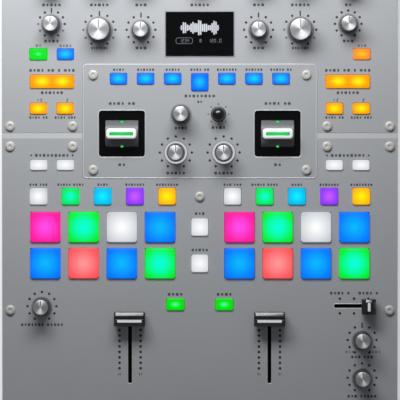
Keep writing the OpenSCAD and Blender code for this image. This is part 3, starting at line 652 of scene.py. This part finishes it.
def paddle(node):
    """A white bar with a lit line, on a stem that stands on a ribbed drum with two lamps."""
    c = middle(node)
    lo, hi = node_box(node)
    at = (c.x, c.y, lo.z + DRUM_R)
    top = hi.z - at[2]
    across = Matrix.Rotation(math.radians(90), 4, "Y")
    r = DRUM_R - 0.05
    edge = [(0, -DRUM_HALF), (11.2, -DRUM_HALF), (11.8, 0.25 - DRUM_HALF), (r, 0.8 - DRUM_HALF)]
    ribs = []
    for i in range(-9, 10):
        z = i * RIB_STEP
        ribs += [(r, z - 0.25), (r - 0.09, z - 0.1), (r - 0.09, z + 0.1), (r, z + 0.25)]
    drum = lathe(edge + ribs + [(q, -z) for q, z in reversed(edge)], 96)
    end = [(0, -AXLE_HALF), (1.8, -AXLE_HALF), (1.95, 0.2 - AXLE_HALF)]
    axle = lathe(end + [(q, -z) for q, z in reversed(end)], 32)
    parts = [turned(drum, across), turned(axle, across)]
    piece(f"{node}_drum", node, "drum", parts, at, stands_for=[node], sharp=40)
    stem = [
        oblong(20.4, 5.6, 1.6, 10.4),
        oblong(20.4, 5.6, 1.6, 12.6),
        oblong(21.6, 6.8, 1.9, 14.6),
        oblong(21.6, 6.8, 1.9, top - 4.6),
    ]
    piece(f"{node}_stem", node, "knob", [stem], at)
    bar = [oblong(21.8, 7.0, 1.9, top - 5.3)] + pillow(22.9, 8.0, 2.4, top - 4.8, top - 0.15, 1.2, 0.12)
    piece(f"{node}_bar", node, "paddle", [bar], at)
    line = plate(oblong(18, 2.5, 0.6, 0, 4), top - 0.6, top)
    piece(f"{node}_line", node, "green_line", [line], at)
    dome = lathe([(1, -0.5), (1, 0), (0.9, 0.12), (0.6, 0.2), (0, 0.24)], 24)
    for name, lean, w, d in (("back", -51, 2.6, 1.7), ("front", 55, 1.35, 1.9)):
        lift = Matrix.Translation((0, 0, 11.9)) @ Matrix.Diagonal((w, d, 0.7, 1))
        place = Matrix.Rotation(math.radians(lean), 4, "X") @ lift
        piece(f"{node}_lamp_{name}", node, "green_lamp", [turned(dome, place)], at)


paddle("paddle_left")
paddle("paddle_right")


# ---------------------------------------------------------------- faders
# The sides of the caps, as how far back and how high.

CAP_H = 11
CAP_SIDE = [
    (5.35, 0), (5.35, 9.55), (5.2, 9.75), (3.15, 10.8), (2.9, 10.9), (1.5, 10.9), (1.2, 10.7), (0.85, 10.1),
    (0.3, 10.1), (0, 10.7), (-0.15, 10.9), (-2.2, 10.9), (-2.5, 10.75), (-5.0, 8.4), (-5.3, 7.8), (-5.35, 0),
]
CUE_SIDE = [
    (5.35, 0), (5.35, 7.8), (5.1, 8.4), (2.3, 10.8), (2.0, 10.9),
    (-2.0, 10.9), (-2.3, 10.8), (-5.1, 8.4), (-5.35, 7.8), (-5.35, 0),
]


def fader(node, across):
    """A slider cap with a white line, on a flat stem that goes down into the slot."""
    lo, hi = node_box(node)
    c = middle(node)
    width = (hi.y - lo.y) if across else (hi.x - lo.x)
    at = (c.x, c.y, hi.z - CAP_H)
    turn = Matrix.Rotation(math.radians(90 if across else 0), 4, "Z")
    side = CUE_SIDE if across else CAP_SIDE
    low = [(y * 0.985, min(z, 9.0)) for y, z in side]
    mid = [(y, min(z, 9.8)) for y, z in side]
    slope = 2.2 if across else 1.3
    stations = [
        (-width / 2, low), (0.6 - width / 2, mid), (slope - width / 2, side),
        (width / 2 - slope, side), (width / 2 - 0.2, mid), (width / 2, low),
    ]
    cap = [[(x, y, z) for y, z in outline] for x, outline in stations]
    stem = plate(oblong(1.3, 4.8, 0.4, 0, 3), -9, 0.4)
    parts = [turned(cap, turn), turned(stem, turn)]
    piece(f"{node}_cap", node, "fader", parts, at, stands_for=[node], bevel=0.1, sharp=16)
    line = plate(oblong(width - 5.1, 1.95, 0.35, 0, 3, (0, 0 if across else -1.15)), 10.5, 10.98)
    piece(f"{node}_line", node, "line", [turned(line, turn)], at)


fader("fader_left", False)
fader("fader_right", False)
fader("crossfader", True)
fader("cue_slider", True)


# ---------------------------------------------------------------- beat stick


def stick():
    """A ball on a stem with a pin through the gimbal, and a collar round its hole."""
    c = middle("beat_stick")
    lo, hi = node_box("beat_stick")
    r = (hi.x - lo.x) / 2
    at = (c.x, c.y, hi.z - r)
    arc = [math.radians(10 * i) for i in range(-8, 9)]
    ball = lathe([(0, -r * 0.98)] + [(r * math.cos(a), r * math.sin(a)) for a in arc] + [(0, r)], 64)
    piece("beat_ball", "beat_stick", "ball", [ball], at, stands_for=["beat_stick"], sharp=60)
    reach = lo.z - at[2]
    stem = lathe([(0, reach), (1.7, reach), (1.95, reach + 0.3), (1.95, -7), (1.5, -6.2), (1.5, -4)], 32)
    pin = lathe([(0, -6.2), (0.85, -6.2), (0.85, 6.2), (0, 6.2)], 24)
    pivot = Matrix.Translation((0, 0, middle("beat_gimbal").z - at[2]))
    pin = turned(pin, pivot @ Matrix.Rotation(math.radians(90), 4, "X"))
    piece("beat_stem", "beat_stick", "gimbal", [stem, pin], at)
    collar = lathe([(4.75, -0.1), (4.95, 0.12), (5.35, 0.2), (5.75, 0.1), (5.9, -0.05), (5.9, -0.1)], 64)
    piece("beat_collar", "chassis", "knob", [], (c.x, c.y, FX_TOP), loops=[collar])


stick()


# ---------------------------------------------------------------- printed marks
# A word is the number of its letters, and each letter is one plain stroke.

INK = []
LABEL = []
PALE = []
FX_INK = []
FX_LABEL = []
PRINT_LOW = 0.04
PRINT_HIGH = 0.05
LETTER_W = (0.66, 0.5, 0.7, 0.46, 0.6)
LETTER_H = (1, 0.88, 1)
DIGITS = ("abcdef", "bc", "abged", "abgcd", "fgbc", "afgcd", "afgedc", "abc", "abcdefg", "abcfgd")


def mark(store, outline, z):
    """A thin printed patch on a surface at height z."""
    store.append(plate(outline, z - PRINT_LOW, z + PRINT_HIGH))


def dot(store, x, y, z, r=0.95):
    mark(store, circle(r, 0, 16, (x, y)), z)


def label(store, x, y, z, words, pitch=3.0, tall=2.1):
    """Plain strokes in place of words."""
    space = 0.6
    long = sum(words) + space * (len(words) - 1)
    at = x - (long - 1) * pitch / 2
    k = 0
    for count in words:
        for _ in range(count):
            size = pitch * LETTER_W[k % 5], tall * LETTER_H[k % 3]
            mark(store, oblong(*size, 0.4, 0, 2, (at, y)), z)
            at += pitch
            k += 1
        at += space * pitch


def digit(store, x, y, z, value, tall, thick):
    """A seven-segment digit."""
    w = tall * 0.5
    h = tall / 2
    segments = (
        ("a", 0, h, True), ("b", w / 2, h / 2, False), ("c", w / 2, -h / 2, False), ("d", 0, -h, True),
        ("e", -w / 2, -h / 2, False), ("f", -w / 2, h / 2, False), ("g", 0, 0, True),
    )
    for name, dx, dy, level in segments:
        if name in DIGITS[value]:
            size = (w - thick * 0.3, thick) if level else (thick, h - thick * 0.3)
            mark(store, oblong(*size, thick * 0.3, 0, 2, (x + dx, y + dy)), z)


def number(store, x, y, z, text, tall=2.1, thick=0.42):
    """Digits and points about a middle."""
    step = tall * 0.85
    left = x - (len(text) - 1) * step / 2
    for i, ch in enumerate(text):
        if ch == ".":
            mark(store, circle(thick * 0.7, 0, 12, (left + i * step, y - tall / 2)), z)
        else:
            digit(store, left + i * step, y, z, int(ch), tall, thick)


def dial(store, node, z, r, line=False, pale=()):
    """Eleven dots round a knob, with a line at noon or some dots fainter."""
    c = middle(node)
    for i in range(-5, 6):
        a = math.radians(90 - 30 * i)
        if i == 0 and line:
            mark(store, oblong(1.05, 4.0, 0.4, 0, 3, (c.x, c.y + r + 0.2)), z)
        else:
            dot(PALE if i in pale else store, c.x + r * math.cos(a), c.y + r * math.sin(a), z)


def under(store, node, z, drop, words, pitch=3.0):
    """A label in front of a control."""
    c = middle(node)
    label(store, c.x, c.y - drop, z, words, pitch)


FAINT = (-4, -3, 4)
# Each dial is its node, its radius, whether it has a line, its faint dots, and its label's drop, words
# and pitch.
DIALS = [
    ("mic_tone", 10.0, True, FAINT, 12.9, [4], 3.0),
    ("session_out", 10.0, False, (), 12.9, [3], 3.0),
    ("mic_level", 10.0, False, (), 14.0, [5], 3.0),
    ("session_in", 10.0, False, (), 14.0, [2], 3.0),
]
for side in ("left", "right"):
    DIALS += [
        ("filter_" + side, 12.1, True, FAINT, 13.8, [7], 1.85),
        ("level_" + side, 10.9, False, (), 16.2, [5], 3.0),
        ("high_" + side, 10.9, True, (), 16.2, [4], 3.1),
        ("mid_" + side, 10.9, True, (), 16.2, [3], 3.1),
        ("low_" + side, 10.9, True, (), 13.8, [3], 3.1),
    ]
DIALS += [
    ("main_level", 10.9, False, (), 16.2, [5], 3.0),
    ("booth_level", 10.9, False, (), 16.2, [5], 3.0),
    ("sampler_level", 10.9, False, (), 14.0, [7, 5], 2.6),
    ("cue_level", 10.9, False, (), 14.1, [3, 5], 2.65),
    ("cue_mix", 10.9, True, (), 13.0, [3, 3], 2.65),
]


def print_dials():
    """The dots and labels of the panel's own knobs."""
    for node, r, line, pale, drop, words, pitch in DIALS:
        dial(INK, node, PANEL, r, line, pale)
        under(LABEL, node, PANEL, drop, words, pitch)
    c = middle("cue_mix")
    label(PALE, c.x - 9.4, c.y - 9.1, PANEL, [3], 2.4, 1.7)
    label(PALE, c.x + 9.6, c.y - 9.1, PANEL, [4], 2.35, 1.7)


def print_effects():
    """The marks round the effects plate's knobs, paddles and beat stick."""
    for side in ("left", "right"):
        dial(FX_INK, "depth_" + side, FX_TOP, 12.1)
        under(FX_LABEL, "depth_" + side, FX_TOP, 15.6, [5])
        c = middle("paddle_" + side)
        label(FX_LABEL, c.x, c.y + 22.9, FX_TOP, [4, 2], 3.15)
        label(FX_LABEL, c.x, c.y - 23.5, FX_TOP, [2], 3.2)
    under(FX_LABEL, "fx_time", FX_TOP, 10.8, [4], 2.5)
    under(FX_LABEL, "beat_stick", FX_TOP, 10.1, [4], 2.8)
    beat = middle("beat_stick")
    tick = [circle(0.45, -PRINT_LOW, 10), circle(0.45, PRINT_HIGH, 10)]
    tick = turned(tick, Matrix.Diagonal((1.6, 1, 1, 1)))
    out = Matrix.Translation((7.7, 0, 0))
    for i in range(8):
        turn = Matrix.Rotation(math.radians(45 * i), 4, "Z")
        FX_INK.append(turned(tick, Matrix.Translation((beat.x, beat.y, FX_TOP)) @ turn @ out))


FX_WORDS_Y = 81.0  # one row of labels over all the effect keys
KEY_WORDS = {
    "input_keys": [[3]] * 6 + [[2], [4], [3]],
    "loop_keys": [[4, 2, 1, 3]] * 2 + [[4, 2], [4, 3]] * 2,
    "fx_keys": [[4], [6], [5], [7], [6], [5, 2], [4, 2]],
    "parameter_keys": [[9]] * 4,
    "mode_keys": [[3, 3], [5, 4], [4], [7], [8]] * 2,
    "tap_shift_keys": [[3], [5]],
    "sync_keys": [[4]] * 2,
}


def print_key(node, i, x, y, half, words):
    """One key's marks. The key's middle is x, y, and its half depth is half."""
    if node == "input_keys":
        label(PALE, x, y + half + 2.1, PANEL, words, 2.45, 1.9)
    elif node == "loop_keys" and i < 2:
        label(LABEL, x, y + half + 3.4, PANEL, words, 3.0)
        label(LABEL, x, y - half - 3.5, PANEL, [6], 2.95)
    elif node == "loop_keys":
        number(LABEL, x + (1.6 if i % 2 else 2.2), y + half + 2.2, PANEL, "2", thick=0.52)
        if i % 2 == 0:
            number(LABEL, x - 0.8, y + half + 2.2, PANEL, "1", thick=0.52)
        label(LABEL, x, y - half - 2.8, PANEL, words, 2.2, 1.9)
    elif node == "fx_keys":
        if abs(x) < 5:
            label(FX_LABEL, x, y - half - 4.15, FX_TOP, [8])
            label(FX_LABEL, x, y - half - 8.6, FX_TOP, [2], 2.2, 1.7)
        label(FX_LABEL, x, FX_WORDS_Y, FX_TOP, words, 2.25, 1.9)
    elif node == "parameter_keys" and i % 2 == 0:
        mid = x + 10.1
        label(LABEL, mid, y + half + 3.35, PANEL, words, 2.95)
        for s in (-1, 1):
            mark(LABEL, circle(s * 1.2, 0, 3, (mid + s * 15.7, y + half + 3.35)), PANEL)
    elif node == "mode_keys":
        label(LABEL, x, y + half + 2.6, PANEL, words, 2.15, 1.9)
    elif node == "tap_shift_keys":
        label(LABEL, x, y + half + 3.75, PANEL, words, 2.65)
    elif node == "sync_keys":
        label(LABEL, x, y + half + 3.35, PANEL, words, 3.1)


def print_keys():
    for node, words in KEY_WORDS.items():
        for i, (lo, hi) in enumerate(islands(node)):
            c = (lo + hi) / 2
            print_key(node, i, c.x, c.y, (hi.y - lo.y) / 2 - KEY_LIP, words[i])


def print_slides():
    """The dots along the sliders' travel, and their labels."""
    for node in ("fader_left", "fader_right"):
        c = middle(node)
        end = c.y - 45
        for s in (-1, 1):
            for i in range(8):
                dot(INK, c.x + s * 8.0, end + 7.2 + i * 4.15, PANEL, 1.05)
            label(PALE, c.x + s * 8.0, end + 2.8, PANEL, [2], 1.4, 2.1)
    c = middle("cue_slider")
    for s in (-1, 1):
        for x in (0, -10.8, -21.6):
            dot(INK, c.x + x, c.y + s * 5.6, PANEL, 1.0)
    label(LABEL, c.x - 21.6, c.y + 9.8, PANEL, [4, 1], 2.8)
    label(LABEL, c.x, c.y + 9.8, PANEL, [4, 1], 2.8)
    c = middle("crossfader")
    for s in (-1, 1):
        for x in (-22.5, -11.25, 0, 11.25, 22.5):
            dot(INK, c.x + x, c.y + s * 9.0, PANEL, 0.9)


print_dials()
print_effects()
print_keys()
print_slides()
piece("print_panel", "chassis", "ink", INK)
piece("print_labels", "chassis", "label_ink", LABEL)
piece("print_pale", "chassis", "soft_ink", PALE)
piece("print_effects", "chassis", "ink", FX_INK)
piece("print_effects_labels", "chassis", "label_ink", FX_LABEL)


# ---------------------------------------------------------------- display


def display():
    """A waveform over a row of small numbers, and a bead round the glass whose grey is a painted highlight
    along the window's edges.
    """
    lo, hi = node_box("display_window")
    c = (lo + hi) / 2
    z = hi.z
    wave_y, row_y = c.y + 4.8, c.y - 5.0
    bright = []
    dim = []
    for i in range(20):
        tall = 3.6 + 8.4 * abs(math.sin(i * 0.83) * math.cos(i * 0.31 + 0.4))
        mark(bright, oblong(1.15, tall, 0.3, 0, 2, (c.x + (i - 9.5) * 1.45, wave_y)), z)
    mark(dim, oblong(31, 0.3, 0.1, 0, 1, (c.x, wave_y)), z - 0.02)
    number(dim, c.x - 11.7, row_y, z, "1234", 2.2, 0.4)
    number(dim, c.x + 0.6, row_y, z, "8", 2.2, 0.4)
    number(dim, c.x + 11.5, row_y, z, "120.0", 2.4, 0.45)
    piece("screen_picture", "chassis", "screen", bright)
    piece("screen_details", "chassis", "screen_dim", dim)
    ring = bead(12.6, 4.4, 1.6, 0, 0.22, (c.x - 11.7, row_y), 6, 4)
    piece("screen_frame", "chassis", "screen_dim", [], (0, 0, z), loops=[ring])
    # The grey of this bead round the glass is a painted highlight along the window's edges.
    edge = bead(hi.x - lo.x - 0.3, hi.y - lo.y - 0.3, 1.0, z - 0.1, 0.3, (c.x, c.y), 10, 6)
    piece("screen_edge_highlight", "chassis", "skirt", [], loops=[edge])


display()


# ---------------------------------------------------------------- edges with painted highlights, and light rings

# Each slide is its node, whether it runs across, its travel, and the slot's middle from the cap's rest.
SLIDES = [
    ("fader_left", False, 45, 0, -22.5),
    ("fader_right", False, 45, 0, -22.5),
    ("crossfader", True, 45, 0, 0),
    ("cue_slider", True, 21.6, -10.8, 0),
]
WELL_W = 35.7
RIM_Z = FX_TOP - 0.42


def effects_rims():
    """Beads round the effects plate and its two openings for the paddles, lighter than the panel: partly bare
    metal, partly a painted highlight along the edges.
    """
    lo, hi = node_box("fx_plate")
    c = (lo + hi) / 2
    loops = [bead(hi.x - lo.x - 0.7, hi.y - lo.y - 0.7, 2.8, RIM_Z, 0.5, (c.x, c.y), 12, 10)]
    for node in ("paddle_left", "paddle_right"):
        m = middle(node)
        loops.append(bead(WELL_W, WELL_W, 2.6, RIM_Z, 0.46, (m.x, m.y), 12, 8))
    piece("effects_rims", "chassis", "rim", [], loops=loops)


def seam_bevel():
    """A bevel in front of the seam between the plates, on each side of the effects plate: tilted towards the
    lamps, and also lighter in colour than the panel as a painted highlight.
    """
    seam = node_box("upper_faceplate")[0].y - 0.2
    near = node_box("fx_plate")[1].x + 0.3
    far = node_box("lower_faceplate")[1].x - 0.4
    back, front = seam + 0.25, seam - 3.9
    deep = 0.22
    strips = []
    for s in (-1, 1):
        edge = [(s * x, y) for x, y in ((near, back), (far, back), (far, front), (near, front))]
        low = [(x, y, PANEL - 0.3 + min(deep, (seam - y) * 0.06)) for x, y in edge]
        high = [(x, y, PANEL - 0.18 + max(0.0, min(deep, (seam - y) * 0.058))) for x, y in edge]
        strips.append([low, high])
    piece("seam_bevel", "chassis", "bevel_highlight", strips)


def slot_rims():
    """A bead round each slider's slot, lighter than the panel: partly bare metal, partly a painted highlight
    along the edge.
    """
    slots = []
    for node, across, travel, dx, dy in SLIDES:
        c = middle(node)
        w, d = (travel + 9.4, 3.5) if across else (3.5, travel + 9.4)
        slots.append(bead(w, d, 1.7, PANEL - 0.16, 0.28, (c.x + dx, c.y + dy), 8, 6))
    piece("slot_rims", "chassis", "rim", [], loops=slots)


def depth_rings():
    """A lit ring in a metal seat round each depth knob."""
    ring = lathe([(7.2, 0), (7.2, 0.3), (7.35, 0.42), (8.3, 0.42), (8.45, 0.3), (8.5, 0)], 72)
    seat = lathe([(8.5, 0), (8.55, 0.2), (8.95, 0.22), (9.15, 0.05), (9.15, -0.02)], 72)
    for side in ("left", "right"):
        m = middle("depth_" + side)
        at = (m.x, m.y, FX_TOP)
        piece(f"depth_ring_{side}", "chassis", "ring_light", [], at, loops=[ring])
        piece(f"depth_seat_{side}", "chassis", "skirt", [], at, loops=[seat])


def brushes():
    """Dust strips on both sides of each fader's slot."""
    off = 1.15
    skins = []
    for node, across, travel, dx, dy in SLIDES:
        c = middle(node)
        for s in (-1, 1):
            w, d = (travel + 8, 0.75) if across else (0.75, travel + 8)
            x = c.x + dx + (0 if across else s * off)
            y = c.y + dy + (s * off if across else 0)
            skins.append(plate(oblong(w, d, 0.2, 0, 2, (x, y)), PANEL - 2.3, PANEL - 1.7))
    piece("dust_strips", "chassis", "brush", skins)


effects_rims()
seam_bevel()
slot_rims()
depth_rings()
brushes()


# ---------------------------------------------------------------- back and feet

COLLAR_W = 11.2  # the width of a phono collar's flange
# The back's words: how far along, how high, and how many letters.
BACK_WORDS = [
    (-80, 80, 4), (-48, 80, 4), (-80, 17.5, 4), (-48, 17.5, 4), (-18, 17.5, 3), (20, 17.5, 3),
    (60, 17.5, 3), (40, 17.5, 2), (80, 17.5, 2), (126, 76, 3), (-118, 80, 4),
]


def back():
    """Coloured rings round the phono collars, and the printed marks."""
    y = node_box("rear_panel")[1].y

    def put(skin, x, z):
        return turned(skin, Matrix.Translation((x, y, z)) @ BACKWARD)

    collars = [(lo + hi) / 2 for lo, hi in islands("rca_jacks") if abs(hi.x - lo.x - COLLAR_W) < 0.2]
    between = sum(c.z for c in collars) / len(collars)
    upper = [c for c in collars if c.z > between]
    lower = [c for c in collars if c.z < between]
    ring = lathe([(4.3, 1.3), (5.4, 1.3), (5.4, 2.4), (5.2, 2.7), (4.5, 2.7), (4.3, 2.5)], 40)
    for name, row in (("white", upper), ("red", lower)):
        rings = [put(ring, c.x, c.z) for c in row]
        piece("phono_rings_" + name, "chassis", name + "_nylon", [], loops=rings)
    prints = []
    letter = plate(oblong(1.5, 1.2, 0.3, 0, 2), -PRINT_LOW, PRINT_HIGH)
    for x, z, n in BACK_WORDS:
        prints += [put(letter, x + (i - (n - 1) / 2) * 2.3, z) for i in range(n)]
    flip = Matrix.Diagonal((-1, -1, 1, 1))
    rule = plate(oblong(18.5, 0.4, 0.15, 0, 2), -PRINT_LOW, PRINT_HIGH)
    for i, (c, low) in enumerate(zip(upper, lower)):
        store = []
        digit(store, 0, 0, 0, i + 1, 2.4, 0.45)
        prints += [put(turned(skin, flip), c.x, c.z + 9) for skin in store]
        prints += [put(rule, c.x, c.z + 12.4), put(rule, c.x, low.z - 9.8)]
    piece("print_back", "chassis", "white_print", prints)


def power_signs():
    """A line and a ring on the two faces of the power rocker."""
    joints = frame["record"]["behaviour"]["joints"]
    pivot = next(j for j in joints if j["name"] == "power_rock")["pos_m"]
    rest = Matrix.Translation(Vector(pivot) / MM) @ Matrix.Rotation(math.radians(-10), 4, "X")

    def face(s):
        turn = Matrix.Rotation(math.radians(-90 - 7.3 * s), 4, "X")
        return rest @ Matrix.Translation((0, 6.95, 4.6 * s)) @ turn

    line = plate(oblong(0.7, 3.6, 0.3, 0, 2), -0.05, 0.05)
    piece("power_sign_on", "power_switch", "white_print", [turned(line, face(1))])
    sizes = ((1.7, 2.4, -0.05), (2.9, 3.6, -0.05), (2.9, 3.6, 0.05), (1.7, 2.4, 0.05))
    ring = turned([oblong(w, d, w / 2 - 0.05, z, 6) for w, d, z in sizes], face(-1))
    piece("power_sign_off", "power_switch", "white_print", [], loops=[ring])


def feet():
    """Ridged rubber feet, open in the middle for their screws."""
    profile = [
        (2.0, 1.6), (2.0, 0.6), (3.4, 0.35), (4.2, 0.1), (9.6, 0.0), (10.3, 0.25), (10.6, 0.8), (10.9, 2.4),
        (10.7, 2.7), (10.9, 3.0), (11.2, 4.6), (11.0, 4.9), (11.3, 5.2), (11.7, 7.2), (11.9, 7.6), (11.9, 8.0),
        (2.0, 8.0),
    ]
    skins = []
    for lo, hi in islands("rubber_feet"):
        c = (lo + hi) / 2
        skins.append(lathe(profile, 64, (c.x, c.y)))
    piece("feet", "chassis", "feet", [], loops=skins, stands_for=["rubber_feet"], sharp=40)


back()
power_signs()
feet()


# ---------------------------------------------------------------- camera, floor and light

LENS_DEGREES = 8.255
EYE = Vector((27.2, 31, PANEL + 2100)) * MM
AIM = Vector((0.2, -17.7, PANEL)) * MM
FLOOR_W = 12000


def camera():
    """A long lens almost straight above, with the back of the mixer at the top of the picture."""
    cam = bpy.data.cameras.new("camera")
    cam.sensor_fit = "HORIZONTAL"
    cam.angle = math.radians(LENS_DEGREES)
    obj = bpy.data.objects.new("camera", cam)
    away = (EYE - AIM).normalized()
    right = Vector((0, 1, 0)).cross(away).normalized()
    turn = Matrix((right, away.cross(right), away)).transposed().to_4x4()
    obj.matrix_world = Matrix.Translation(EYE) @ turn
    scene.collection.objects.link(obj)
    scene.camera = obj


def floor():
    """White paper that goes on far past the picture."""
    n = Nodes("floor_paper")
    fibre = n.noise(n.coords(), 700.0, 4.0)
    paper = n.ramp(fibre, [(0.3, (0.86, 0.86, 0.87, 1)), (0.7, (0.92, 0.92, 0.925, 1))])
    n.link(paper, n.shader.inputs["Base Color"])
    n.set(Roughness=0.8, Emission_Color=(1, 1, 1, 1), Emission_Strength=0.45)
    mesh = mesh_of("floor", [plate(oblong(FLOOR_W, FLOOR_W, 600, 0), -20, 0)])
    mesh.materials.append(n.mat)
    obj = bpy.data.objects.new("floor", mesh)
    scene.collection.objects.link(obj)


def world():
    """A weak, even fill from all round."""
    studio = bpy.data.worlds.new("studio")
    studio.use_nodes = True
    sky = studio.node_tree.nodes["Background"]
    sky.inputs["Color"].default_value = (0.93, 0.95, 1, 1)
    sky.inputs["Strength"].default_value = 0.125
    scene.world = studio


def softbox(name, at, aim, size, power):
    """A lamp of a size in metres, at one place in metres and turned to another."""
    light = bpy.data.lights.new(name, "AREA")
    light.shape = "RECTANGLE"
    light.size, light.size_y = size
    light.energy = power
    obj = bpy.data.objects.new(name, light)
    obj.location = at
    obj.rotation_euler = (Vector(aim) - Vector(at)).to_track_quat("-Z", "Y").to_euler()
    scene.collection.objects.link(obj)


camera()
floor()
world()
softbox("key", (-0.08, 0.40, 0.47), (-0.04, 0.05, 0.09), (0.5, 0.2), 3.9)
softbox("rear", (-0.05, 0.75, 0.62), (0, 0.0, 0.09), (1.5, 0.5), 0.8)
